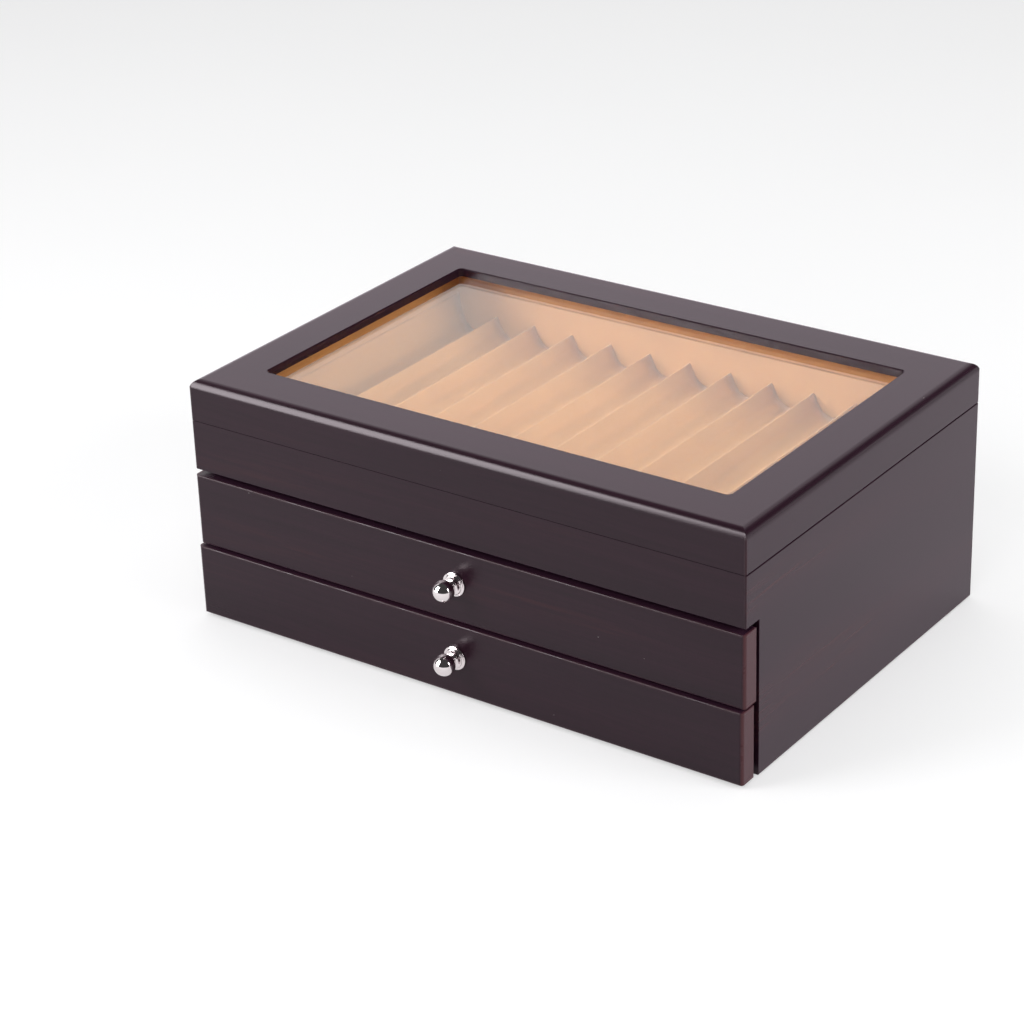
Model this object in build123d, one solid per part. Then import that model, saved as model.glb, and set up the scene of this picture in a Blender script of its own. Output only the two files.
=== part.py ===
"""Pen collector chest: a lacquered wooden case with a glass-topped lid and two drawers.

Millimetres.  X runs along the front, left to right; Y runs from front to back; Z is up.
The origin is the middle of the underside, where the felt sheet meets the table.
"""
import os
from math import acos, cos, degrees, radians, sin, tan

from build123d import *

# ------------------------------------------------------------------ the outside
WIDTH = 340.0           # left to right
DEPTH = 233.0           # front to back, without drawer fronts and hinges
FELT = 1.0              # felt sheet under the case
RIM_Z = 114.45          # top of the case walls
LID_Z = 114.75          # underside of the lid walls; 0.3 mm of air at the seam
TOP_Z = 137.5           # top of the lid
WALL = 10.0             # case and lid walls
EDGE = 0.6              # small rounding on lacquered edges
ROUND_OVER = 5.0        # the lid's top outer edges

# ------------------------------------------------------------------ the lid
FRAME_SIDE = 27.5       # frame width left and right of the window
FRAME_FRONT = 30.0      # frame width before and behind the window
WINDOW_CORNER = 2.5
REVEAL = 4.7            # from the top of the frame down to the glass
GLASS = 3.0
GLASS_LAP = 10.0        # how far the glass reaches under the frame
RETAINER = 2.0          # covered frame that holds the glass up
RETAINER_SETBACK = 6.5  # from the window's edge to the retainer's edge

# ------------------------------------------------------------------ the case
NOTCH = 12.2            # the side walls stop this far back behind the drawer fronts
BAND_Z = 86.3           # underside of the front rail above the drawers
PANEL = 3.0             # bottom, shelf, tray floor and drawer bottoms
GROOVE = 4.0            # depth of the grooves that hold the panels
SHELF_Z = 42.2          # underside of the shelf between the drawers
LINING = 2.5            # fabric-covered boards inside case and lid
LIP_Z = 116.0           # the tray boards stand above the rim, inside the lid
LIP_BEVEL = (0.6, 1.8)  # taken off the lip's outer edge, so that the lid clears it
LID_LINING_Z = 116.5    # underside of the lid's boards

# ------------------------------------------------------------------ pen rests
TROUGHS = 12
CREST_HEIGHT = 12.75    # from a trough's floor to its crests
FLANK_ANGLE = 63.0      # flanks against the level, in degrees
REST_PLAY = 0.3         # at each end of a rest
TRAY_PITCH = 26.17
TRAY_FLOOR_SKIN = 0.7   # thickness under the troughs
UPSTAND_Z = 112.0       # the tray rest's outer troughs sweep up the lining to here
UPSTAND = 0.8           # their thickness at the top
UPSTAND_PLAY = 0.1
DRAWER_PITCH = 25.4
DRAWER_FLOOR_SKIN = 1.2

# ------------------------------------------------------------------ the drawers
FRONT_THICK = 11.0
FRONT_HEIGHT = 40.0
FRONT_PROUD = 1.1       # drawer fronts stand ahead of the rail above them
FRONT_END_ROUND = 2.0
UPPER_Z = 43.4          # undersides of the two fronts
LOWER_Z = 2.2
LOWER_AJAR = 2.0        # the lower drawer rests this far out
BOX_LIFT = 2.0          # from the front's underside to the box's
BOX_HEIGHT = 37.0
BOX_SIDE = 6.0
SIDE_PLAY = 0.6
BACK_PLAY = 0.3
BOTTOM_LIFT = 1.0       # from the box's underside to its bottom panel
HOUSING = 4.0           # depth of the rebates in the front that take the box sides
TONGUE = 3.0            # how far a bottom panel enters its grooves
SHEET = 0.8             # fabric on the drawer walls

# ------------------------------------------------------------------ knobs
KNOB_ABOVE_MIDDLE = 1.2
FLANGE_R = 6.65
FLANGE = 1.5
COLLAR_R = 5.3          # domed collar between flange and neck
DOME_R = 2.7
DOME_CUTS = 2
NECK_R = 2.5
BALL_R = 5.05
BALL_AHEAD = 10.3       # ball's centre, ahead of the drawer front
BALL_CUTS = 5           # the ball is turned in this many conical cuts
STUD = (2.5, 8.0)       # turned with the knob, glued into the front
STUD_PLAY = 0.05

# ------------------------------------------------------------------ hinges
HINGE_X = 105.0
HINGE_LENGTH = 40.0
KNUCKLES = 3
KNUCKLE_R = 2.2
PIN_R = 1.1
PIN_FIT = 0.03          # play of the pin in the case leaf
SWING_FIT = 0.07        # play of the pin in the lid leaf
KNUCKLE_GAP = 0.3
LEAF = 1.2
LEAF_REACH = 9.2        # from the back face into the wall
AXIS_BEHIND = 2.4       # hinge axis behind the back face

# ------------------------------------------------------------------ worked out
SEAM_Z = (RIM_Z + LID_Z) / 2
LEFT, RIGHT = -WIDTH / 2, WIDTH / 2
FRONT, BACK = -DEPTH / 2, DEPTH / 2
INNER_X, INNER_Y = RIGHT - WALL, BACK - WALL
WINDOW_X, WINDOW_Y = RIGHT - FRAME_SIDE, BACK - FRAME_FRONT
GLASS_TOP = TOP_Z - REVEAL
FRAME_Z = GLASS_TOP - GLASS
RETAINER_Z = FRAME_Z - RETAINER
AXIS_Y = BACK + AXIS_BEHIND
SIDES = ("front", "back", "left", "right")


def block(x_low, x_high, y_low, y_high, z_low, z_high):
    """A box given by its limits."""
    size = Box(x_high - x_low, y_high - y_low, z_high - z_low)
    return Pos((x_low + x_high) / 2, (y_low + y_high) / 2, (z_low + z_high) / 2) * size


def upright_outline(width, z_low, z_high, top, bottom):
    """A standing rectangle whose upper and lower corners have their own radii."""
    outline = Pos(0, (z_low + z_high) / 2) * Rectangle(width, z_high - z_low)
    corners = outline.vertices().sort_by(Axis.Y)
    if bottom:
        outline = fillet(corners[:2], bottom)
    if top:
        outline = fillet(outline.vertices().sort_by(Axis.Y)[-2:], top)
    return outline


def edges_at(edges, axis, place):
    """Those of the edges whose middle lies at a place along an axis."""
    return edges.filter_by_position(axis, place - 0.01, place + 0.01)


def rounded_block(z_low, z_high, top, bottom):
    """The chest's footprint raised into a block, each edge run straight into its corners."""
    plan = extrude(Pos(0, 0, z_low) * RectangleRounded(WIDTH, DEPTH, EDGE), z_high - z_low)
    across = Plane.XZ * upright_outline(WIDTH, z_low, z_high, top, bottom)
    along = Plane.YZ * upright_outline(DEPTH, z_low, z_high, top, bottom)
    return plan & extrude(across, DEPTH, both=True) & extrude(along, WIDTH, both=True)


def mitre_zone(side):
    """The space that one side of a mitred frame may fill, cut at 45 degrees."""
    x, y, ridge = WIDTH, DEPTH / 2 + WIDTH / 2, (WIDTH - DEPTH) / 2
    outline = {
        "front": [(-x, -y), (x, -y), (ridge, 0), (-ridge, 0)],
        "back": [(x, y), (-x, y), (-ridge, 0), (ridge, 0)],
        "left": [(-x, y), (-x, -y), (-ridge, 0)],
        "right": [(x, -y), (x, y), (ridge, 0)],
    }[side]
    return extrude(make_face(Polyline(*outline, close=True)), TOP_Z)


# ------------------------------------------------------------------ case
def case_panel(z_low, y_front):
    """A level panel held in grooves in the case walls."""
    x = INNER_X + GROOVE
    return block(-x, x, y_front, INNER_Y + GROOVE, z_low, z_low + PANEL)


def case_shell():
    """The four case walls in one, with the drawers' opening cut through the front."""
    shell = rounded_block(FELT, RIM_Z, EDGE, EDGE)
    shell -= block(-INNER_X, INNER_X, -INNER_Y, INNER_Y, 0, TOP_Z)
    shell -= block(LEFT - 1, RIGHT + 1, FRONT - 1, FRONT + NOTCH, 0, BAND_Z)
    lower_edges = edges_at(shell.edges().filter_by(Axis.X), Axis.Z, BAND_Z)
    return fillet(edges_at(lower_edges, Axis.Y, FRONT), EDGE)


def tray_board(side):
    """A fabric-covered board on one wall of the tray, with its lip bevelled outside."""
    floor, (bevel_in, bevel_down) = BAND_Z + PANEL, LIP_BEVEL
    outline = [(0, floor), (LINING, floor), (LINING, LIP_Z), (bevel_in, LIP_Z),
               (0, LIP_Z - bevel_down)]
    face = make_face(Polyline(*outline, close=True))
    return place_board(face, side)


def place_board(face, side):
    """Stand a board's section, drawn from the wall inwards, along one of the walls."""
    between = 2 * (INNER_Y - LINING)
    plane, length = {
        "front": (Plane((0, -INNER_Y, 0), x_dir=(0, 1, 0), z_dir=(1, 0, 0)), 2 * INNER_X),
        "back": (Plane((0, INNER_Y, 0), x_dir=(0, -1, 0), z_dir=(-1, 0, 0)), 2 * INNER_X),
        "left": (Plane((-INNER_X, 0, 0), x_dir=(1, 0, 0), z_dir=(0, -1, 0)), between),
        "right": (Plane((INNER_X, 0, 0), x_dir=(-1, 0, 0), z_dir=(0, 1, 0)), between),
    }[side]
    return extrude(plane * face, length / 2, both=True)


def case_parts():
    """Walls, panels, tray lining and base felt."""
    notch_y = FRONT + NOTCH
    panels = {
        "case_bottom": case_panel(FELT, notch_y),
        "drawer_shelf": case_panel(SHELF_Z, notch_y),
        "tray_floor": case_panel(BAND_Z, -INNER_Y - GROOVE),
    }
    shell = case_shell() - list(panels.values()) - hinge_mortises(RIM_Z - LEAF, RIM_Z)
    names = {"front": "case_front_rail", "back": "case_back",
             "left": "case_side_left", "right": "case_side_right"}
    parts = {names[side]: shell & mitre_zone(side) for side in SIDES}
    parts.update(panels)
    parts.update({f"tray_lining_{side}": tray_board(side) for side in SIDES})
    inset = 3.0
    parts["base_felt"] = block(LEFT + inset, RIGHT - inset, notch_y + inset, BACK - inset, 0, FELT)
    return parts


# ------------------------------------------------------------------ pen rests
def trough_radius(pitch):
    """Radius of the round bottom that both flanks of a trough run into smoothly."""
    slope = radians(FLANK_ANGLE)
    return (pitch / 2 * tan(slope) - CREST_HEIGHT) / (sin(slope) * tan(slope) - 1 + cos(slope))


def swept_side(middle, floor_z, radius, wall_x):
    """Tangent point of a trough and the wider arc that leaves a wall upright at UPSTAND_Z."""
    across, down = middle - wall_x, UPSTAND_Z - floor_z - radius
    wide = (across ** 2 + down ** 2 - radius ** 2) / (2 * (across - radius))
    share = radius / (wide - radius)
    return middle + share * (across - wide), floor_z + radius - share * down


def rest_section(pitch, base_z, floor_z, wall_x=None):
    """Scalloped section of tangent arcs and flanks; with wall_x its outer sides sweep up the walls."""
    slope, half, radius = radians(FLANK_ANGLE), pitch / 2, trough_radius(pitch)
    arc_half, arc_rise = radius * sin(slope), radius * (1 - cos(slope))
    crest_z, edge = floor_z + CREST_HEIGHT, TROUGHS * half
    curves = []
    for index in range(TROUGHS):
        middle = (index + 0.5) * pitch - edge
        start, end = (middle - arc_half, floor_z + arc_rise), (middle + arc_half, floor_z + arc_rise)
        if wall_x and index == 0:
            start = swept_side(middle, floor_z, radius, -wall_x)
            curves.append(TangentArc((-wall_x, UPSTAND_Z), start, tangent=(0, -1)))
        else:
            curves.append(Line((middle - half, crest_z), start))
        if wall_x and index == TROUGHS - 1:
            x, z = swept_side(-middle, floor_z, radius, -wall_x)
            end = (-x, z)
            curves.append(TangentArc((wall_x, UPSTAND_Z), end, tangent=(0, -1)))
        else:
            curves.append(Line(end, (middle + half, crest_z)))
        curves.append(ThreePointArc(start, (middle, floor_z), end))
    if wall_x:
        edge, crest_z = wall_x + UPSTAND, UPSTAND_Z
        curves += [Line((-edge, crest_z), (-wall_x, crest_z)), Line((wall_x, crest_z), (edge, crest_z))]
    curves.append(Polyline((edge, crest_z), (edge, base_z), (-edge, base_z), (-edge, crest_z)))
    return make_face(curves)


def pen_rest(section, y_front, y_back):
    """The scalloped section run from front to back, with a little play at its ends."""
    middle, length = (y_front + y_back) / 2, y_back - y_front - 2 * REST_PLAY
    return Pos(0, middle, 0) * extrude(Plane.XZ * section, length / 2, both=True)


def tray_rest():
    """The rest under the glass, whose outer troughs run up the lining."""
    base, wall_x = BAND_Z + PANEL, INNER_X - LINING - UPSTAND_PLAY - UPSTAND
    section = rest_section(TRAY_PITCH, base, base + TRAY_FLOOR_SKIN, wall_x)
    return pen_rest(section, LINING - INNER_Y, INNER_Y - LINING)


# ------------------------------------------------------------------ lid
def window(lap, z_low, z_high, corner):
    """A prism through the window, widened by lap on every side."""
    outline = RectangleRounded(2 * (WINDOW_X + lap), 2 * (WINDOW_Y + lap), corner)
    return extrude(Pos(0, 0, z_low) * outline, z_high - z_low)


def lid_frame(lid_block):
    """The flat top of the lid with its window and the rebate for the glass."""
    frame = lid_block & block(LEFT, RIGHT, FRONT, BACK, FRAME_Z, TOP_Z)
    frame -= window(0, FRAME_Z - 1, TOP_Z + 1, WINDOW_CORNER)
    frame -= window(GLASS_LAP, FRAME_Z - 1, GLASS_TOP, WINDOW_CORNER)
    rim = edges_at(frame.edges(), Axis.Z, TOP_Z)
    reach_x, reach_y = WINDOW_X + 1, WINDOW_Y + 1
    inner = [e for e in rim if abs(e.center().X) < reach_x and abs(e.center().Y) < reach_y]
    return chamfer(inner, EDGE)


def lid_board(side):
    """A fabric-covered board on one wall of the lid, below the retainer."""
    outline = [(0, LID_LINING_Z), (LINING, LID_LINING_Z), (LINING, RETAINER_Z), (0, RETAINER_Z)]
    return place_board(make_face(Polyline(*outline, close=True)), side)


def lid_parts():
    """Frame, walls, glass, retainer and lining of the lid."""
    lid_block = rounded_block(LID_Z, TOP_Z, ROUND_OVER, EDGE)
    walls = lid_block & block(LEFT, RIGHT, FRONT, BACK, 0, FRAME_Z)
    walls -= block(-INNER_X, INNER_X, -INNER_Y, INNER_Y, 0, TOP_Z)
    walls -= hinge_mortises(LID_Z, LID_Z + LEAF)
    parts = {f"lid_rail_{side}": walls & mitre_zone(side) for side in SIDES}
    parts["lid_frame"] = lid_frame(lid_block)
    play = 0.3
    parts["glass_pane"] = window(GLASS_LAP - play, FRAME_Z, GLASS_TOP, WINDOW_CORNER - play)
    retainer = block(-INNER_X, INNER_X, -INNER_Y, INNER_Y, RETAINER_Z, FRAME_Z)
    parts["glass_retainer"] = retainer - window(RETAINER_SETBACK, 0, TOP_Z, WINDOW_CORNER)
    parts.update({f"lid_lining_{side}": lid_board(side) for side in SIDES})
    return parts


# ------------------------------------------------------------------ hinges
def rod(radius, x_low, x_high):
    """A bar along the hinge axis."""
    bar = Cylinder(radius, x_high - x_low, rotation=(0, 90, 0))
    return Pos((x_low + x_high) / 2, AXIS_Y, SEAM_Z) * bar


def hinge_mortises(z_low, z_high):
    """Pockets in the back wall that take the hinge leaves."""
    half = HINGE_LENGTH / 2
    return [block(x - half, x + half, BACK - LEAF_REACH, BACK + 1, z_low, z_high)
            for x in (-HINGE_X, HINGE_X)]


def hinge_leaf(x, on_case):
    """A leaf with its knuckles; the case leaf has the outer knuckles."""
    half, step = HINGE_LENGTH / 2, HINGE_LENGTH / KNUCKLES
    z_low = RIM_Z - LEAF if on_case else LID_Z
    leaf = block(x - half, x + half, BACK - LEAF_REACH, BACK, z_low, z_low + LEAF)
    for index in range(0 if on_case else 1, KNUCKLES, 2):
        start = x - half + index * step + KNUCKLE_GAP / 2
        end = start + step - KNUCKLE_GAP
        leaf += block(start, end, BACK - 1, AXIS_Y, z_low, z_low + LEAF)
        leaf += rod(KNUCKLE_R, start, end)
    return leaf - rod(PIN_R + (PIN_FIT if on_case else SWING_FIT), x - half - 1, x + half + 1)


def hinge_parts():
    """Two butt hinges: two leaves and a pin each."""
    parts, pin_end = {}, (HINGE_LENGTH - KNUCKLE_GAP) / 2
    for name, x in (("left", -HINGE_X), ("right", HINGE_X)):
        parts[f"hinge_{name}_case_leaf"] = hinge_leaf(x, True)
        parts[f"hinge_{name}_lid_leaf"] = hinge_leaf(x, False)
        parts[f"hinge_{name}_pin"] = rod(PIN_R, x - pin_end, x + pin_end)
    return parts


# ------------------------------------------------------------------ drawers
def drawer_front(y_front, z_low):
    """The front board: full width, with its ends rounded more than its long edges."""
    y_back, middle = y_front + FRONT_THICK, y_front + FRONT_THICK / 2
    plan = Pos(0, middle) * Rectangle(WIDTH, FRONT_THICK)
    plan = fillet(plan.vertices().sort_by(Axis.Y)[:2], FRONT_END_ROUND)
    plan = fillet(plan.vertices().sort_by(Axis.Y)[-2:], EDGE)
    section = Pos(middle, z_low + FRONT_HEIGHT / 2) * RectangleRounded(FRONT_THICK, FRONT_HEIGHT, EDGE)
    board = extrude(plan, z_low + FRONT_HEIGHT)
    board &= extrude(Plane.YZ * section, WIDTH, both=True)
    return board, y_back


def arc_points(middle, radius, start, end, steps):
    """Points along an arc from one angle to another, in degrees."""
    angles = [radians(start + (end - start) * index / steps) for index in range(steps + 1)]
    return [(middle[0] + radius * cos(a), middle[1] + radius * sin(a)) for a in angles]


def knob(y_front, z):
    """A turned knob: stud, flange, domed collar, neck and ball."""
    stud_r, stud = STUD
    neck_angle = -degrees(acos(NECK_R / BALL_R))
    outline = [(0, -stud), (stud_r, -stud), (stud_r, 0), (FLANGE_R, 0), (FLANGE_R, FLANGE)]
    outline += arc_points((COLLAR_R - DOME_R, FLANGE), DOME_R, 0, 80, DOME_CUTS)
    outline += arc_points((0, BALL_AHEAD), BALL_R, neck_angle, 90, BALL_CUTS)[:-1]
    outline += [(0, BALL_AHEAD + BALL_R)]
    turned = revolve(Plane.XZ * make_face(Polyline(*outline, close=True)), Axis.Z)
    return Pos(0, y_front, z) * Rot(90, 0, 0) * turned


def drawer_parts(name, z_low, ajar):
    """One drawer: front, box, bottom, lining, pen rest and knob."""
    y_front = FRONT - FRONT_PROUD - ajar
    front, y_back = drawer_front(y_front, z_low)
    y_end = INNER_Y - BACK_PLAY - ajar
    x_out = INNER_X - SIDE_PLAY
    x_in, y_in = x_out - BOX_SIDE, y_end - BOX_SIDE
    box_z, box_top = z_low + BOX_LIFT, z_low + BOX_LIFT + BOX_HEIGHT
    floor = box_z + BOTTOM_LIFT + PANEL
    knob_z = z_low + FRONT_HEIGHT / 2 + KNOB_ABOVE_MIDDLE

    bottom = block(-x_in - TONGUE, x_in + TONGUE, y_back - TONGUE, y_in + TONGUE, floor - PANEL, floor)
    left = block(-x_out, -x_in, y_back - HOUSING, y_end, box_z, box_top)
    right = mirror(left, Plane.YZ)
    back = block(-x_in, x_in, y_in, y_end, box_z, box_top)
    front = front - [left, right, bottom]
    bore = Cylinder(STUD[0] + STUD_PLAY, STUD[1], rotation=(90, 0, 0))
    front -= Pos(0, y_front + STUD[1] / 2, knob_z) * bore

    walls = block(-x_in, x_in, y_back, y_in, floor, box_top - 1)
    hollow = block(-x_in + SHEET, x_in - SHEET, y_back + SHEET, y_in - SHEET, floor, box_top)
    rest = rest_section(DRAWER_PITCH, floor, floor + DRAWER_FLOOR_SKIN)
    return {
        f"{name}_front": front,
        f"{name}_side_left": left - bottom,
        f"{name}_side_right": right - bottom,
        f"{name}_back": back - bottom,
        f"{name}_bottom": bottom,
        f"{name}_lining": walls - hollow,
        f"{name}_pen_rest": pen_rest(rest, y_back + SHEET, y_in - SHEET),
        f"{name}_knob": knob(y_front, knob_z),
    }


# ------------------------------------------------------------------ the whole chest
def chest():
    """Every piece of the chest by name."""
    parts = case_parts()
    parts["pen_rest_top"] = tray_rest()
    parts.update(lid_parts())
    parts.update(hinge_parts())
    parts.update(drawer_parts("drawer_upper", UPPER_Z, 0))
    parts.update(drawer_parts("drawer_lower", LOWER_Z, LOWER_AJAR))
    return parts


def write_parts():
    """One STEP file for each piece."""
    os.makedirs("parts", exist_ok=True)
    for name, solid in chest().items():
        solid.label = name
        export_step(solid, f"parts/{name}.step")


write_parts()
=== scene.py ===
# %% [markdown]
# # A pen collector chest
# The chest is a dark lacquered box with a glass-topped lid, a scalloped rest lined in tan
# velvet, and two drawers with ball knobs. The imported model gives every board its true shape
# and place. This lesson dresses it: finishes for the boards, and new pieces for the pen
# rests, the knobs and the screws of the hinges.

from math import acos, atan2, cos, degrees, radians, sin, sqrt, tan

import bmesh
import bpy
from mathutils import Matrix, Vector


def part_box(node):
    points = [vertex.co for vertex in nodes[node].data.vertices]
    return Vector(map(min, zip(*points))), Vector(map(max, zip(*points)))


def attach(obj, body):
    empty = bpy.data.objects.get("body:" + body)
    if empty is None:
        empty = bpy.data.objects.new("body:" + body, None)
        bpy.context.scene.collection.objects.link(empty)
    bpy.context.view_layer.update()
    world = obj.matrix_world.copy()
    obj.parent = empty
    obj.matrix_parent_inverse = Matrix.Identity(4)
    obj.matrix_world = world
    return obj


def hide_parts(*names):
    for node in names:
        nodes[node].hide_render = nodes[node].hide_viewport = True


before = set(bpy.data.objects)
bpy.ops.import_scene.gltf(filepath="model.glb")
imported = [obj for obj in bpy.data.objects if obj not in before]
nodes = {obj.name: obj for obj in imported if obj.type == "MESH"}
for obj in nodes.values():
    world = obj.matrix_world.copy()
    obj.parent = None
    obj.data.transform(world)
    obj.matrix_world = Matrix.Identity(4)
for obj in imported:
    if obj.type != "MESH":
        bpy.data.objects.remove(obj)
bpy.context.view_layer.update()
print("pieces in the packed model:", len(nodes))

# %% [markdown]
# ## Camera
# The photograph looks down on the near right corner with a long lens, so the far edges
# hardly shrink. Position, turn and lens were solved from the chest's own straight edges.

# %% Camera
CAMERA_PLACE = (0.7954, -1.1505, 0.7389)
CAMERA_TURN = (63.9985, 1.8331, 35.3803)
SENSOR, LENS = 36.0, 102.66
CENTRE = (0, 0, 0.07)

camera_data = bpy.data.cameras.new("camera")
camera_data.sensor_width, camera_data.lens = SENSOR, LENS
camera = bpy.data.objects.new("camera", camera_data)
camera.location = CAMERA_PLACE
camera.rotation_euler = [radians(turn) for turn in CAMERA_TURN]
bpy.context.scene.collection.objects.link(camera)
bpy.context.scene.camera = camera
bpy.context.scene.view_settings.view_transform = "Standard"
print("camera", round((camera.location - Vector(CENTRE)).length, 3), "m from the chest")

# %% [markdown]
# ## Helpers for shader nodes
# A material is a small network. Writing each node by hand takes many lines, so `put` makes
# a node, sets its options and fills its sockets: a number is typed in, and another node's
# output is joined by a link. `calc` does the same for arithmetic, and the helpers after it
# are the few patterns that most finishes need.

# %% Helpers for shader nodes
def put(tree, kind, sockets=None, **options):
    """A shader node, its options set and its sockets filled or joined."""
    made = tree.nodes.new("ShaderNode" + kind)
    for name, value in options.items():
        setattr(made, name, value)
    for name, value in (sockets or {}).items():
        if isinstance(value, bpy.types.NodeSocket):
            tree.links.new(value, made.inputs[name])
        else:
            made.inputs[name].default_value = value
    return made


def calc(tree, operation, *values):
    """One sum, as the output socket of a Math node."""
    return put(tree, "Math", dict(enumerate(values)), operation=operation).outputs[0]


def vector_calc(tree, operation, *values):
    """One sum of vectors, as the output socket of a Vector Math node."""
    return put(tree, "VectorMath", dict(enumerate(values)), operation=operation).outputs[0]


def split(tree, vector):
    """The X, Y and Z sockets of a vector."""
    return put(tree, "SeparateXYZ", {0: vector}).outputs


def ramp(tree, value, low, high, out_low=0.0, out_high=1.0):
    """A smooth step from one level to another as the value rises."""
    sockets = {"Value": value, "From Min": low, "From Max": high,
               "To Min": out_low, "To Max": out_high}
    return put(tree, "MapRange", sockets, interpolation_type="SMOOTHSTEP").outputs[0]


def blend_colour(tree, factor, first, second):
    """A mix of two colours."""
    return put(tree, "Mix", {0: factor, 6: first, 7: second}, data_type="RGBA").outputs[2]


def noise(tree, vector, scale, detail=3.0, roughness=0.55):
    """Cloudy noise from 0 to 1."""
    sockets = {"Vector": vector, "Scale": scale, "Detail": detail, "Roughness": roughness}
    return put(tree, "TexNoise", sockets).outputs["Fac"]


def stretched(tree, vector, factors):
    """A pattern's coordinates, scaled differently along X, Y and Z."""
    return vector_calc(tree, "MULTIPLY", vector, factors)


def new_material(name):
    """A material with its Principled shader and Object coordinates."""
    material = bpy.data.materials.new(name)
    material.use_nodes = True
    tree = material.node_tree
    shader = tree.nodes["Principled BSDF"]
    place = tree.nodes.new("ShaderNodeTexCoord").outputs["Object"]
    return material, tree, shader, place


def new_group(name, inputs, outputs):
    """An empty node group with named sockets."""
    group = bpy.data.node_groups.new(name, "ShaderNodeTree")
    for title, kind, default in inputs:
        socket = group.interface.new_socket(title, in_out="INPUT", socket_type="NodeSocket" + kind)
        socket.default_value = default
    for title in outputs:
        group.interface.new_socket(title, in_out="OUTPUT", socket_type="NodeSocketFloat")
    given = group.nodes.new("NodeGroupInput").outputs
    return group, given, group.nodes.new("NodeGroupOutput").inputs


def use_group(tree, group, **values):
    """A node group placed in a material, its inputs named in lower case with underscores."""
    made = tree.nodes.new("ShaderNodeGroup")
    made.node_tree = group
    for name, value in values.items():
        socket = made.inputs[name.replace("_", " ").capitalize()]
        if isinstance(value, bpy.types.NodeSocket):
            tree.links.new(value, socket)
        else:
            socket.default_value = value
    return made.outputs


def bump(tree, shader, height, strength, distance=0.0004):
    """Small relief on a shader."""
    sockets = {"Height": height, "Strength": strength, "Distance": distance}
    tree.links.new(put(tree, "Bump", sockets).outputs["Normal"], shader.inputs["Normal"])


# %% [markdown]
# ## Studio
# The photograph has a pure white ground with a faint shadow. A white floor catches the
# shadow, and what the camera and the gloss see of it is lifted to white. Lacquer shows its
# surroundings more than its own colour: a white wall behind the chest lights the lid's top,
# the dark ceiling draws the black line along its edge, and a strip lamp at the front left,
# which only the gloss sees, gives the bright line under that. One box at the right is both
# seen in the gloss and lights the colour, and the other three lamps light the colour alone.

# %% Floor
FLOOR_HALF = 4.0
FLOOR_LIFT = 0.45
PAPER = ((0.52, 0.52, 0.525, 1), (0.54, 0.54, 0.545, 1))

floor_mesh = bmesh.new()
bmesh.ops.create_grid(floor_mesh, x_segments=1, y_segments=1, size=FLOOR_HALF)
floor_data = bpy.data.meshes.new("studio_floor")
floor_mesh.to_mesh(floor_data)
floor_mesh.free()
floor = bpy.data.objects.new("studio_floor", floor_data)
bpy.context.scene.collection.objects.link(floor)

floor_material, tree, shader, place = new_material("floor_paper")
shader.inputs["Roughness"].default_value = 1.0
shader.inputs["Specular IOR Level"].default_value = 0.0
clouds = noise(tree, place, 3.0, 2.0)
tree.links.new(blend_colour(tree, clouds, *PAPER), shader.inputs["Base Color"])
light_path = tree.nodes.new("ShaderNodeLightPath").outputs
seen = calc(tree, "MAXIMUM", light_path["Is Camera Ray"], light_path["Is Glossy Ray"])
seen = calc(tree, "MAXIMUM", seen, light_path["Is Transmission Ray"])
level = calc(tree, "MULTIPLY", seen, FLOOR_LIFT)
lift = put(tree, "Emission", {"Color": (1, 1, 1, 1), "Strength": level})
both = put(tree, "AddShader", {0: shader.outputs[0], 1: lift.outputs[0]})
tree.links.new(both.outputs[0], tree.nodes["Material Output"].inputs["Surface"])
floor_data.materials.append(floor_material)
print("floor", [round(side, 2) for side in floor.dimensions])

# %% Surroundings
# A direction's Z is the sine of its height above the horizon, so the wall fades out 43 to
# 55 degrees up. It is missing at the right, above the horizon, and behind the camera.
WALL_LEVEL, DARK_LEVEL = 1.10, 0.06

world = bpy.data.worlds.new("studio")
world.use_nodes = True
bpy.context.scene.world = world
tree = world.node_tree
tree.nodes.clear()
axes = split(tree, tree.nodes.new("ShaderNodeTexCoord").outputs["Generated"])
below_ceiling = ramp(tree, axes["Z"], 0.68, 0.82, 1.0, 0.0)
at_right, raised = ramp(tree, axes["X"], -0.10, 0.25), ramp(tree, axes["Z"], 0.10, 0.25)
kept = calc(tree, "SUBTRACT", 1.0, calc(tree, "MULTIPLY", at_right, raised))
behind_chest = ramp(tree, axes["Y"], -0.25, 0.15)
wall = calc(tree, "MULTIPLY", calc(tree, "MULTIPLY", below_ceiling, kept), behind_chest)
level = calc(tree, "MULTIPLY_ADD", wall, WALL_LEVEL, DARK_LEVEL)
light_path = tree.nodes.new("ShaderNodeLightPath").outputs
level = calc(tree, "MAXIMUM", level, light_path["Is Camera Ray"])
background = put(tree, "Background", {"Color": (1, 1, 1, 1), "Strength": level})
output = tree.nodes.new("ShaderNodeOutputWorld")
tree.links.new(background.outputs[0], output.inputs["Surface"])
print("surroundings: white wall, dark ceiling")


# %% Lamps
def soft_box(name, place, aim, width, height, radiance, in_gloss=True, on_colour=True):
    """A rectangular lamp of an even brightness, for the gloss, the colour under it, or both."""
    data = bpy.data.lights.new(name, "AREA")
    data.shape, data.size, data.size_y = "RECTANGLE", width, height
    data.energy = 4 * radiance * width * height
    lamp = bpy.data.objects.new(name, data)
    lamp.location = place
    lamp.rotation_euler = (Vector(aim) - Vector(place)).to_track_quat("-Z", "Y").to_euler()
    lamp.visible_glossy, lamp.visible_diffuse = in_gloss, on_colour
    bpy.context.scene.collection.objects.link(lamp)


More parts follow.
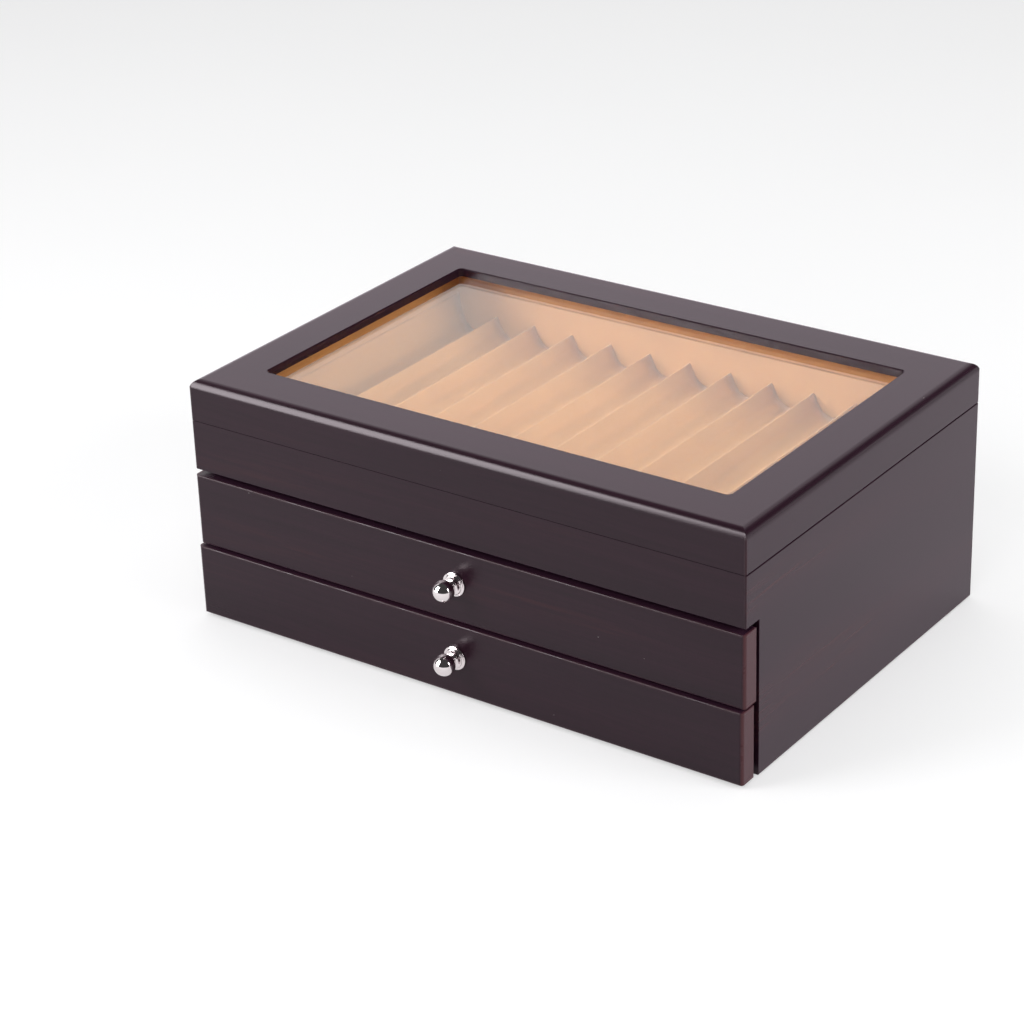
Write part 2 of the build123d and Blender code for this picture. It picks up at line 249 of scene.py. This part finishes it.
LID_EDGE = (0, 0, 0.13)
soft_box("edge_strip", (-1.08, -1.27, 0.80), LID_EDGE, width=0.9, height=1.55, radiance=12.0,
         on_colour=False)
soft_box("left_box", (-0.98, -1.16, 1.08), CENTRE, width=0.9, height=0.62, radiance=7.0,
         in_gloss=False)
soft_box("right_box", (1.75, 0.25, 0.95), CENTRE, width=1.0, height=0.9, radiance=5.0)
soft_box("front_fill", (0.75, -1.75, 1.25), CENTRE, width=1.5, height=1.2, radiance=2.5,
         in_gloss=False)
soft_box("ceiling_fill", (0, 0, 2.4), CENTRE, width=2.6, height=2.6, radiance=0.95,
         in_gloss=False)
print("lamps:", len(bpy.data.lights))

# %% [markdown]
# ## Shared effects
# Effects that several finishes use are node groups, each made once: wood grain, rubbed
# edges, dust specks, the pile of cloth, and the fine lines that a lathe or a brush leaves
# in metal. All of them read Object coordinates in metres, so a pattern has its true size.

# %% Wood grain
# The factors are cycles per metre along X, Y and Z: few along the grain, many across it.
wood_grain, given, result = new_group(
    "wood_grain", [("Place", "Vector", (0, 0, 0))], ["Streaks", "Figure", "Pores"])
tree = wood_grain
sway = noise(tree, stretched(tree, given["Place"], (5, 9, 9)), 1.0, 2.0)
shift = {0: (0, 0.010, 0.010), 3: calc(tree, "SUBTRACT", sway, 0.5)}
swayed = put(tree, "VectorMath", shift, operation="SCALE").outputs[0]
moved = vector_calc(tree, "ADD", given["Place"], swayed)
streaks = noise(tree, stretched(tree, moved, (9, 420, 420)), 1.0, 5.0, 0.62)
tree.links.new(streaks, result["Streaks"])
figure = noise(tree, stretched(tree, moved, (2.4, 30, 30)), 1.0, 3.0)
tree.links.new(figure, result["Figure"])
pores = noise(tree, stretched(tree, moved, (95, 1900, 1900)), 1.0, 1.0)
tree.links.new(ramp(tree, pores, 0.62, 0.70), result["Pores"])

# %% Rubbed edges
# A point is near an edge of a box where it is near the limit along two axes at once.
rubbed_edges, given, result = new_group(
    "rubbed_edges",
    [("Place", "Vector", (0, 0, 0)), ("Centre", "Vector", (0, 0, 0)),
     ("Half size", "Vector", (1, 1, 1)), ("Width", "Float", 0.002)], ["Mask"])
tree = rubbed_edges
offset = vector_calc(tree, "SUBTRACT", given["Place"], given["Centre"])
gap = vector_calc(tree, "SUBTRACT", given["Half size"], vector_calc(tree, "ABSOLUTE", offset))
near = [ramp(tree, calc(tree, "DIVIDE", side, given["Width"]), 0.0, 1.0, 1.0, 0.0)
        for side in split(tree, gap)]
pairs = [calc(tree, "MULTIPLY", near[a], near[b]) for a, b in ((0, 1), (1, 2), (0, 2))]
edge = calc(tree, "MAXIMUM", calc(tree, "MAXIMUM", pairs[0], pairs[1]), pairs[2])
patchy = ramp(tree, noise(tree, given["Place"], 70.0, 4.0), 0.30, 0.65)
tree.links.new(calc(tree, "MULTIPLY", edge, patchy), result["Mask"])

# %% Dust specks
dust_specks, given, result = new_group(
    "dust_specks", [("Place", "Vector", (0, 0, 0)), ("Density", "Float", 0.12)], ["Mask"])
tree = dust_specks
cells = put(tree, "TexVoronoi", {"Vector": given["Place"], "Scale": 150.0})
small = ramp(tree, cells.outputs["Distance"], 0.02, 0.045, 1.0, 0.0)
lot = split(tree, cells.outputs["Color"])["X"]
chosen = calc(tree, "LESS_THAN", lot, given["Density"])
tree.links.new(calc(tree, "MULTIPLY", small, chosen), result["Mask"])

# %% Pile of cloth
cloth_pile, given, result = new_group(
    "cloth_pile", [("Place", "Vector", (0, 0, 0)), ("Fibre scale", "Float", 1500.0)],
    ["Nap", "Fibres"])
tree = cloth_pile
tree.links.new(noise(tree, given["Place"], 22.0, 4.0, 0.6), result["Nap"])
fine = noise(tree, given["Place"], given["Fibre scale"], 2.0)
coarse = noise(tree, given["Place"], calc(tree, "MULTIPLY", given["Fibre scale"], 0.3), 2.0)
tree.links.new(calc(tree, "MULTIPLY_ADD", coarse, 0.4, calc(tree, "MULTIPLY", fine, 0.6)),
               result["Fibres"])

# %% Drawn metal
drawn_metal, given, result = new_group(
    "drawn_metal", [("Place", "Vector", (0, 0, 0)), ("Stretch", "Vector", (60, 4000, 4000))],
    ["Lines", "Smudges"])
tree = drawn_metal
along = stretched(tree, given["Place"], given["Stretch"])
tree.links.new(noise(tree, along, 1.0, 3.0), result["Lines"])
tree.links.new(noise(tree, given["Place"], 260.0, 3.0), result["Smudges"])
print("shared effects:", [group.name for group in bpy.data.node_groups])

# %% [markdown]
# ## Lacquered wood
# The boards are stained almost black and sprayed with a satin lacquer. Under it the grain
# shows as faint warmer and darker streaks. A mapping turns the grain to run along each
# board, and the rubbed edges let a little brown through. End grain takes the stain less
# well, so the drawer fronts' ends are redder. The sheen stands for the faint mauve haze
# that the coat has in flat light.

# %% Colours of the lacquer
# Each effect has its colour and how much of it shows.
STAIN = ((0.011, 0.0035, 0.007, 1), (0.020, 0.006, 0.012, 1))
WARM_STREAK, WARM_SHARE = (0.050, 0.012, 0.010, 1), 0.55
PORE, PORE_SHARE = (0.010, 0.006, 0.007, 1), 0.4
RUBBED, RUBBED_SHARE, RUBBED_WIDTH = (0.090, 0.035, 0.030, 1), 0.18, 0.0016
END_GRAIN, END_SHARE, END_FADE = (0.070, 0.020, 0.022, 1), 0.8, (0.0016, 0.0004)
DUST, DUST_DENSITY = (0.30, 0.28, 0.27, 1), 0.05
SATIN = 0.23
print("stain", [round(level, 4) for level in STAIN[0][:3]])


# %% Lacquer
def side_bars(tree, place, half):
    """1 on the side bars of a mitred frame, 0 on its front and back bars."""
    reach = split(tree, vector_calc(tree, "ABSOLUTE", place))
    inset = calc(tree, "ADD", calc(tree, "SUBTRACT", reach["Y"], reach["X"]), half[0] - half[1])
    return calc(tree, "LESS_THAN", inset, 0.0)


def laid(tree, colour, mask, share, over):
    """A colour with some of another laid over it where a mask is 1."""
    return blend_colour(tree, calc(tree, "MULTIPLY", mask, share), colour, over)


def stained_wood(tree, grain):
    """The dark stain with its warm streaks and pores."""
    figure = calc(tree, "MULTIPLY", grain["Figure"], 0.6)
    tone = calc(tree, "MULTIPLY_ADD", grain["Streaks"], 0.4, figure)
    colour = blend_colour(tree, ramp(tree, tone, 0.30, 0.70), *STAIN)
    warm = calc(tree, "MULTIPLY", ramp(tree, grain["Figure"], 0.56, 0.72),
                ramp(tree, grain["Streaks"], 0.4, 0.7))
    colour = laid(tree, colour, warm, WARM_SHARE, WARM_STREAK)
    return laid(tree, colour, grain["Pores"], PORE_SHARE, PORE)


def lacquer(name, low, high, across=False, ends=False, mitred=False):
    """Satin lacquer over dark stained wood, rubbed along the edges of the box it covers."""
    material, tree, shader, place = new_material(name)
    centre = [(a + b) / 2 for a, b in zip(low, high)]
    half = [(b - a) / 2 for a, b in zip(low, high)]
    along, turned = (put(tree, "Mapping", {"Vector": place, "Rotation": (0, 0, radians(turn)),
                                           "Location": low}).outputs[0] for turn in (0, 90))
    if mitred:
        along = put(tree, "Mix", {0: side_bars(tree, place, half), 4: along, 5: turned},
                    data_type="VECTOR").outputs[1]
    grain = use_group(tree, wood_grain, place=turned if across else along)
    colour = stained_wood(tree, grain)
    worn = use_group(tree, rubbed_edges, place=place, centre=centre, half_size=half,
                     width=RUBBED_WIDTH)
    colour = laid(tree, colour, worn["Mask"], RUBBED_SHARE, RUBBED)
    if ends:
        side = calc(tree, "ABSOLUTE", split(tree, place)["X"])
        end = ramp(tree, side, half[0] - END_FADE[0], half[0] - END_FADE[1])
        colour = laid(tree, colour, end, END_SHARE, END_GRAIN)
    specks = use_group(tree, dust_specks, place=place, density=DUST_DENSITY)
    colour = blend_colour(tree, specks["Mask"], colour, DUST)
    tree.links.new(colour, shader.inputs["Base Color"])
    dullness = calc(tree, "MULTIPLY_ADD", grain["Streaks"], 0.05, SATIN)
    dullness = calc(tree, "MULTIPLY_ADD", specks["Mask"], 0.4, dullness)
    dullness = calc(tree, "MULTIPLY_ADD", worn["Mask"], 0.35, dullness)
    tree.links.new(dullness, shader.inputs["Roughness"])
    bump(tree, shader, calc(tree, "SUBTRACT", grain["Streaks"], grain["Pores"]), 0.010)
    shader.inputs["Specular IOR Level"].default_value = 0.26
    shader.inputs["Specular Tint"].default_value = (1.0, 0.92, 0.97, 1)
    shader.inputs["Sheen Weight"].default_value = 0.14
    shader.inputs["Sheen Roughness"].default_value = 0.4
    shader.inputs["Sheen Tint"].default_value = (1.0, 0.40, 0.85, 1)
    return material


def wear(material, *names):
    """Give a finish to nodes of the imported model."""
    for name in names:
        slots = nodes[name].data.materials
        slots.clear()
        slots.append(material)


# %% Lacquered boards
def whole_box(first, *others):
    """The box that holds several nodes."""
    low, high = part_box(first)
    for name in others:
        more_low, more_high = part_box(name)
        low = Vector(map(min, low, more_low))
        high = Vector(map(max, high, more_high))
    return low, high


lid_low, lid_high = whole_box("lid_rail_left", "lid_frame")
case_low, case_high = whole_box("case_side_left", "case_side_right", "case_back")
# The seam between the lid and the case isn't rubbed, so both boxes go on past it.
PAST_SEAM = Vector((0, 0, 0.004))
lid_box, case_box = (lid_low - PAST_SEAM, lid_high), (case_low, case_high + PAST_SEAM)

WALLS = ("case_side", "case_back", "case_front", "lid_rail", "lid_frame")
BOARDS = [name for name in nodes if name.startswith(WALLS)]
BOARDS += ["drawer_upper_front", "drawer_lower_front"]
for name in BOARDS:
    box = {"lid_": lid_box, "case": case_box}.get(name[:4]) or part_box(name)
    wear(lacquer("lacquer_" + name, *box, across=name.endswith(("left", "right")),
                 ends=name.startswith("drawer"), mitred=name == "lid_frame"), name)
print("lacquered boards:", len(BOARDS))

# %% [markdown]
# ## Panels
# Bottoms, shelf and drawer boxes are thin stained plywood: browner and duller than the
# lacquer, with the grain along the long side.

# %% Panel wood
PLYWOOD = ((0.030, 0.017, 0.014, 1), (0.085, 0.045, 0.034, 1))
PANEL_PORE, PANEL_PORE_SHARE = (0.012, 0.007, 0.006, 1), 0.6


def panel_wood(name, turn):
    """Stained plywood with a thin dull coat."""
    material, tree, shader, place = new_material(name)
    turned = put(tree, "Mapping", {"Vector": place, "Rotation": (0, 0, radians(turn))})
    grain = use_group(tree, wood_grain, place=turned.outputs[0])
    figure = calc(tree, "MULTIPLY", grain["Figure"], 0.5)
    tone = calc(tree, "MULTIPLY_ADD", grain["Streaks"], 0.5, figure)
    colour = blend_colour(tree, ramp(tree, tone, 0.3, 0.7), *PLYWOOD)
    colour = laid(tree, colour, grain["Pores"], PANEL_PORE_SHARE, PANEL_PORE)
    tree.links.new(colour, shader.inputs["Base Color"])
    dullness = calc(tree, "MULTIPLY_ADD", grain["Streaks"], 0.2, 0.42)
    tree.links.new(dullness, shader.inputs["Roughness"])
    bump(tree, shader, calc(tree, "SUBTRACT", grain["Streaks"], grain["Pores"]), 0.2)
    return material


wear(panel_wood("panel_along", 0), "case_bottom", "drawer_shelf", "tray_floor",
     "drawer_upper_back", "drawer_lower_back", "drawer_upper_bottom", "drawer_lower_bottom")
wear(panel_wood("panel_across", 90), "drawer_upper_side_left", "drawer_upper_side_right",
     "drawer_lower_side_left", "drawer_lower_side_right")
print("panels finished")

# %% [markdown]
# ## Velvet
# The linings are short tan velvet. Velvet is pale where one looks along its fibres and
# deep where one looks into them: the shader's sheen does this. Stroked patches of the nap
# differ a little in tone. The boards are wrapped, so their edges are soft: a small bevel
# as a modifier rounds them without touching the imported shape.

# %% Velvet
TAN = ((0.45, 0.215, 0.066, 1), (0.55, 0.275, 0.092, 1))

velvet, tree, shader, place = new_material("tan_velvet")
pile = use_group(tree, cloth_pile, place=place, fibre_scale=1500.0)
nap = calc(tree, "MULTIPLY", pile["Nap"], 0.4)
tone = ramp(tree, calc(tree, "MULTIPLY_ADD", pile["Fibres"], 0.6, nap), 0.3, 0.7)
tree.links.new(blend_colour(tree, tone, *TAN), shader.inputs["Base Color"])
shader.inputs["Roughness"].default_value = 0.9
shader.inputs["Specular IOR Level"].default_value = 0.15
shader.inputs["Sheen Weight"].default_value = 0.35
shader.inputs["Sheen Roughness"].default_value = 0.45
shader.inputs["Sheen Tint"].default_value = (1.0, 0.86, 0.68, 1)
bump(tree, shader, pile["Fibres"], 0.15, 0.0003)
print("velvet finished")

# %% Wrapped boards
WRAPPED_EDGE = 0.0003
SAME_POINT = 1e-5


def soften(name):
    """Round a wrapped board's edges."""
    weld = nodes[name].modifiers.new("weld", "WELD")
    weld.merge_threshold = SAME_POINT
    rounding = nodes[name].modifiers.new("rounding", "BEVEL")
    rounding.width, rounding.segments = WRAPPED_EDGE, 3
    rounding.limit_method, rounding.angle_limit = "ANGLE", radians(40)


linings = [name for name in nodes if "lining" in name or name == "glass_retainer"]
wear(velvet, *linings)
for name in linings:
    soften(name)
print("velvet boards:", len(linings))

# %% [markdown]
# ## Pen rests
# A rest is one sheet of velvet laid over a scalloped core. Its outline is drawn by
# spinning a point round each trough and each crest, and the outline is then pulled along
# the tray. In the tray under the glass the two outer troughs sweep up the walls.

# %% Outline helpers
DOUBLES = 1e-6


def line_to(shape, start, x, z):
    """A straight stretch of an outline, from a point to another."""
    end = bmesh.ops.extrude_vert_indiv(shape, verts=[start])["verts"][0]
    end.co = (x, start.co.y, z)
    return end


def spun(shape, parts, centre, turn, steps, closed=False):
    """Points or edges spun about an axis along Y; a closed turn ends on its own start."""
    return bmesh.ops.spin(shape, geom=parts, cent=centre, axis=(0, 1, 0), dvec=(0, 0, 0),
                          angle=radians(turn), space=Matrix.Identity(4), steps=steps,
                          use_merge=closed, use_duplicate=False)["geom_last"]


def arc_from(shape, start, x, z, turn, steps):
    """A round stretch of an outline: the point is spun about a centre."""
    return spun(shape, [start], (x, start.co.y, z), turn, steps)[0]


def add_piece(name, shape, material, body):
    """A piece that rides on a body, from a bmesh."""
    data = bpy.data.meshes.new(name)
    shape.to_mesh(data)
    shape.free()
    data.materials.append(material)
    piece = bpy.data.objects.new(name, data)
    bpy.context.scene.collection.objects.link(piece)
    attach(piece, body)
    return piece


def replace_node(node, shape, material, body, name):
    """A smooth piece, its doubles merged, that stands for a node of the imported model."""
    bmesh.ops.remove_doubles(shape, verts=shape.verts, dist=DOUBLES)
    bmesh.ops.recalc_face_normals(shape, faces=shape.faces)
    for face in shape.faces:
        face.smooth = True
    piece = add_piece(name, shape, material, body)
    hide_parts(node)
    return piece


# %% Rest outline
# The flank's slope in degrees, the crest's height over the trough, the round of the crest,
# and in the tray the height of the rest's top and the thickness of its upright edge.
FLANK = 63
CREST = 0.01275
CREST_ROUND = 0.0007
REST_TOP = 0.112
REST_EDGE = 0.00015
CREST_STEPS, SWEEP_STEPS, TROUGH_STEPS = 6, 10, 16


def sweep_up(wall_x, middle, centre_z, radius):
    """Radius and turn of the arc that leaves the wall upright and joins the outer trough."""
    across, down = wall_x - middle, REST_TOP - centre_z
    wide = (across ** 2 + down ** 2 - radius ** 2) / (2 * (across - radius))
    return wide, degrees(atan2(down, wide - across))


def crest_to(shape, point, x, crest_z):
    """The straight flank up to a crest and the round velvet fold over it."""
    slope = radians(FLANK)
    centre_z = crest_z - CREST_ROUND / cos(slope)
    point = line_to(shape, point, x - CREST_ROUND * sin(slope),
                    centre_z + CREST_ROUND * cos(slope))
    return arc_from(shape, point, x, centre_z, 2 * FLANK, CREST_STEPS)


def rest_outline(shape, pitch, floor_z, base_z, wall_x=None, troughs=12):
    """The closed outline of a rest, drawn across the tray from left to right."""
    slope, half = radians(FLANK), pitch / 2
    radius = (half * tan(slope) - CREST) / (sin(slope) * tan(slope) - 1 + cos(slope))
    last, centre_z, crest_z = (troughs - 1) * half, floor_z + radius, floor_z + CREST
    edge, top_z = (wall_x + REST_EDGE, REST_TOP) if wall_x else (troughs * half, crest_z)
    first = point = shape.verts.new((-edge, 0, top_z))
    start = end = FLANK
    if wall_x:
        wide, rise = sweep_up(wall_x, last, centre_z, radius)
        start = 90 - rise
        point = line_to(shape, point, -wall_x, top_z)
        point = arc_from(shape, point, wide - wall_x, top_z, -rise, SWEEP_STEPS)
    for index in range(troughs):
        middle = index * pitch - last
        if start == FLANK:
            point = line_to(shape, point, middle - radius * sin(slope),
                            centre_z - radius * cos(slope))
        if wall_x and index == troughs - 1:
            end = 90 - rise
        point = arc_from(shape, point, middle, centre_z, -start - end, TROUGH_STEPS)
        if index < troughs - 1:
            point = crest_to(shape, point, middle + half, crest_z)
        start = FLANK
    if wall_x:
        point = arc_from(shape, point, wall_x - wide, top_z, -rise, SWEEP_STEPS)
    for x, z in ((edge, top_z), (edge, base_z), (-edge, base_z)):
        point = line_to(shape, point, x, z)
    shape.edges.new((point, first))


# %% Pen rests
TRAY_PITCH, TRAY_SKIN = 0.02617, 0.0007
DRAWER_PITCH, DRAWER_SKIN = 0.0254, 0.0012
PULLS = 24


def pulled_along(shape, length):
    """The outline closed by a face at each end, and pulled along Y in equal stretches."""
    ring = shape.edges[:]
    start_y = ring[0].verts[0].co.y
    bmesh.ops.contextual_create(shape, geom=ring)
    for step in range(PULLS):
        pulled = bmesh.ops.extrude_edge_only(shape, edges=ring)["geom"]
        verts = [part for part in pulled if isinstance(part, bmesh.types.BMVert)]
        bmesh.ops.translate(shape, verts=verts, vec=(0, length / PULLS, 0))
        front = start_y + length * (step + 1) / PULLS
        ring = [part for part in pulled if isinstance(part, bmesh.types.BMEdge)
                and all(abs(vert.co.y - front) < DOUBLES for vert in part.verts)]
    bmesh.ops.contextual_create(shape, geom=ring)


def pen_rest(node, pitch, floor_skin, body, swept=False):
    """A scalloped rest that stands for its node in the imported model."""
    low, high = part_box(node)
    shape = bmesh.new()
    rest_outline(shape, pitch, low.z + floor_skin, low.z, high.x - REST_EDGE if swept else None)
    bmesh.ops.translate(shape, verts=shape.verts, vec=(0, low.y, 0))
    bmesh.ops.remove_doubles(shape, verts=shape.verts, dist=DOUBLES)
    pulled_along(shape, high.y - low.y)
    name = node.replace("pen_rest", "scalloped_rest")
    return replace_node(node, shape, velvet, body, name)


tray_rest = pen_rest("pen_rest_top", TRAY_PITCH, TRAY_SKIN, "case", swept=True)
upper_rest = pen_rest("drawer_upper_pen_rest", DRAWER_PITCH, DRAWER_SKIN, "drawer_upper")
lower_rest = pen_rest("drawer_lower_pen_rest", DRAWER_PITCH, DRAWER_SKIN, "drawer_lower")
print("rests:", [len(piece.data.polygons) for piece in (tray_rest, upper_rest, lower_rest)])

# %% [markdown]
# ## Glass
# The pane is clear float glass. Cycles blocks lamp light at glass, so for shadow rays a
# transparent shader takes its place and the tray is lit as through a real window.

# %% Glass
CLEAR, DUSTY = (0.985, 0.99, 0.985, 1), (0.75, 0.75, 0.75, 1)

glass, tree, shader, place = new_material("window_glass")
specks = use_group(tree, dust_specks, place=place, density=0.10)
tree.links.new(blend_colour(tree, specks["Mask"], CLEAR, DUSTY), shader.inputs["Base Color"])
tree.links.new(calc(tree, "MULTIPLY", specks["Mask"], 0.5), shader.inputs["Roughness"])
shader.inputs["IOR"].default_value = 1.46
shader.inputs["Transmission Weight"].default_value = 1.0
open_way = tree.nodes.new("ShaderNodeBsdfTransparent").outputs[0]
light_path = tree.nodes.new("ShaderNodeLightPath").outputs
either = {0: light_path["Is Shadow Ray"], 1: shader.outputs[0], 2: open_way}
tree.links.new(put(tree, "MixShader", either).outputs[0],
               tree.nodes["Material Output"].inputs["Surface"])
wear(glass, "glass_pane")
print("glass", [round(side * 1000, 1) for side in nodes["glass_pane"].dimensions], "mm")

# %% [markdown]
# ## Felt
# The sheet under the case keeps it from scratching the table. Felt has no weave, only
# matted fibres that catch the light in specks.

# %% Felt
FELT = ((0.006, 0.006, 0.006, 1), (0.030, 0.028, 0.027, 1))

felt, tree, shader, place = new_material("dark_felt")
pile = use_group(tree, cloth_pile, place=place, fibre_scale=2200.0)
tree.links.new(blend_colour(tree, pile["Fibres"], *FELT), shader.inputs["Base Color"])
shader.inputs["Roughness"].default_value = 1.0
shader.inputs["Specular IOR Level"].default_value = 0.1
shader.inputs["Sheen Weight"].default_value = 0.15
bump(tree, shader, pile["Fibres"], 0.6)
wear(felt, "base_felt")
print("felt", [round(side * 1000, 1) for side in nodes["base_felt"].dimensions], "mm")

# %% [markdown]
# ## Knobs
# A knob is turned from brass and nickel plated. Its half outline, from the flange to the
# tip of the ball, is drawn with straight and round stretches and then spun once round
# the axis, as a lathe would cut it. The stud is the part inside the drawer front.

# %% Nickel plate
NICKEL = ((0.68, 0.62, 0.63, 1), (0.78, 0.72, 0.73, 1))

nickel, tree, shader, place = new_material("polished_nickel")
lines = use_group(tree, drawn_metal, place=place, stretch=(300, 2500, 300))
tree.links.new(blend_colour(tree, lines["Smudges"], *NICKEL), shader.inputs["Base Color"])
shader.inputs["Metallic"].default_value = 1.0
dullness = calc(tree, "MULTIPLY_ADD", lines["Smudges"], 0.05, 0.05)
tree.links.new(dullness, shader.inputs["Roughness"])
bump(tree, shader, lines["Lines"], 0.02, 0.0001)
print("nickel finished")

# %% Knob sizes
# Radii, and distances ahead of the drawer front's face.
STUD_R, STUD_END = 0.00245, -0.0078
FLANGE_R, FLANGE_ROUND, FLANGE_RIM, FLANGE_FACE = 0.00665, 0.0006, 0.0007, 0.0013
RING_R, RING_ROUND, RING_RIM, RING_FACE = 0.0052, 0.0005, 0.0017, 0.0023
NECK_R, COVE_R = 0.0024, 0.0015
BALL_R, BALL_AHEAD = 0.0058, 0.0093
KNOB_AHEAD = 0.01535
print("ball", round(2000 * BALL_R, 1), "mm across")


# %% Turned knobs
def knob_outline(shape):
    """Half of a knob's outline, its radius along X and its axis along Z."""
    point = shape.verts.new((0, 0, STUD_END))
    for radius, ahead in ((STUD_R, STUD_END), (STUD_R, 0), (FLANGE_R, 0), (FLANGE_R, FLANGE_RIM)):
        point = line_to(shape, point, radius, ahead)
    point = arc_from(shape, point, FLANGE_R - FLANGE_ROUND, FLANGE_RIM, -90, 6)
    point = line_to(shape, point, RING_R, FLANGE_FACE)
    point = line_to(shape, point, RING_R, RING_RIM)
    point = arc_from(shape, point, RING_R - RING_ROUND, RING_RIM, -90, 6)
    point = line_to(shape, point, NECK_R + COVE_R, RING_FACE)
    point = arc_from(shape, point, NECK_R + COVE_R, RING_FACE + COVE_R, 90, 8)
    point = line_to(shape, point, NECK_R, BALL_AHEAD - sqrt(BALL_R ** 2 - NECK_R ** 2))
    arc_from(shape, point, 0, BALL_AHEAD, -(90 + degrees(acos(NECK_R / BALL_R))), 24)


def turned_knob(node, body):
    """A ball knob on a stepped flange, spun about its node's axis."""
    low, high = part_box(node)
    middle = ((low.x + high.x) / 2, low.y + KNOB_AHEAD, (low.z + high.z) / 2)
    shape = bmesh.new()
    knob_outline(shape)
    forward = Matrix.Rotation(radians(90), 3, "X")
    bmesh.ops.rotate(shape, verts=shape.verts, cent=(0, 0, 0), matrix=forward)
    bmesh.ops.translate(shape, verts=shape.verts, vec=middle)
    spun(shape, shape.verts[:] + shape.edges[:], middle, 360, 72, closed=True)
    name = node.replace("knob", "turned_knob")
    return replace_node(node, shape, nickel, body, name)


for drawer in ("drawer_upper", "drawer_lower"):
    piece = turned_knob(drawer + "_knob", drawer)
    print(piece.name, [round(side * 1000, 2) for side in piece.dimensions], "mm")

# %% [markdown]
# ## Hinges
# The butt hinges are nickel-plated steel, brushed along their length. Each leaf is held by
# three slotted screws.

# %% Hinge metal
STEEL = ((0.60, 0.57, 0.53, 1), (0.74, 0.71, 0.67, 1))

brushed, tree, shader, place = new_material("brushed_nickel")
lines = use_group(tree, drawn_metal, place=place, stretch=(60, 4000, 4000))
tree.links.new(blend_colour(tree, lines["Smudges"], *STEEL), shader.inputs["Base Color"])
shader.inputs["Metallic"].default_value = 1.0
tree.links.new(calc(tree, "MULTIPLY_ADD", lines["Lines"], 0.18, 0.20), shader.inputs["Roughness"])
bump(tree, shader, lines["Lines"], 0.12, 0.0001)
wear(brushed, *[name for name in nodes if name.startswith("hinge")])
print("hinges finished")

# %% [markdown]
# Small screws need only what shows: a low head with a slot, set in the leaf. One half of
# the head is a flat cone cut off beside the slot, and its copy, turned half round, is the
# other. A thin disc between them is the slot's floor. When the lid is shut only 0.3 mm is
# left between the leaves, so the heads are low.

# %% Screw heads
HEAD_R, HEAD_PROUD, SUNK, SLOT = 0.0021, 0.00012, 0.0003, 0.00055
TOP_SHARE, BASE_SHARE = 0.86, 0.95
BASE_LIFT = 0.00001


def turn_about(axis, degrees_turned):
    """A turn as a matrix."""
    return Matrix.Rotation(radians(degrees_turned), 3, axis)


def slotted_head():
    """The mesh of one screw head, its slot along X and the leaf's face at z = 0."""
    shape = bmesh.new()
    bmesh.ops.create_cone(shape, cap_ends=True, segments=32, radius1=HEAD_R,
                          radius2=TOP_SHARE * HEAD_R, depth=SUNK + HEAD_PROUD)
    bmesh.ops.translate(shape, verts=shape.verts, vec=(0, 0, (HEAD_PROUD - SUNK) / 2))
    everything = shape.verts[:] + shape.edges[:] + shape.faces[:]
    cut = bmesh.ops.bisect_plane(shape, geom=everything, plane_co=(0, SLOT / 2, 0),
                                 plane_no=(0, 1, 0), clear_inner=True)["geom_cut"]
    rim = [part for part in cut if isinstance(part, bmesh.types.BMEdge)]
    bmesh.ops.contextual_create(shape, geom=rim)
    half = shape.verts[:] + shape.edges[:] + shape.faces[:]
    other = bmesh.ops.duplicate(shape, geom=half)["geom"]
    turned = [part for part in other if isinstance(part, bmesh.types.BMVert)]
    bmesh.ops.rotate(shape, verts=turned, cent=(0, 0, 0), matrix=turn_about("Z", 180))
    bottom = bmesh.ops.create_circle(shape, cap_ends=True, segments=24,
                                     radius=BASE_SHARE * HEAD_R)["verts"]
    bmesh.ops.translate(shape, verts=bottom, vec=(0, 0, BASE_LIFT))
    bmesh.ops.recalc_face_normals(shape, faces=shape.faces)
    head = bpy.data.meshes.new("slotted_head")
    shape.to_mesh(head)
    shape.free()
    return head


# %% Screws in the leaves
# Each screw's place along its leaf, and where its slot came to rest, in degrees.
SCREWS = ((-0.013, 20), (0.0, 95), (0.013, 62))
SCREW_IN = 0.0045


def leaf_screws(leaf, head, body, face_z, roll):
    """Three screws along a hinge leaf; a roll of 180 degrees turns them to look down."""
    low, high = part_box(leaf)
    middle_x = (low.x + high.x) / 2
    shape = bmesh.new()
    for along, turn in SCREWS:
        before = len(shape.verts)
        shape.from_mesh(head)
        shape.verts.ensure_lookup_table()
        made = shape.verts[before:]
        turned = turn_about("X", roll) @ turn_about("Z", turn)
        bmesh.ops.rotate(shape, verts=made, cent=(0, 0, 0), matrix=turned)
        bmesh.ops.translate(shape, verts=made, vec=(middle_x + along, low.y + SCREW_IN, face_z))
    return add_piece(leaf.replace("leaf", "screws"), shape, brushed, body)


head = slotted_head()
rim_z, lid_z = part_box("case_side_left")[1].z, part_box("lid_rail_left")[0].z
for side in ("left", "right"):
    for body, face_z, roll in (("case", rim_z, 0), ("lid", lid_z, 180)):
        piece = leaf_screws(f"hinge_{side}_{body}_leaf", head, body, face_z, roll)
        print(piece.name, len(piece.data.polygons), "faces")
bpy.data.meshes.remove(head)
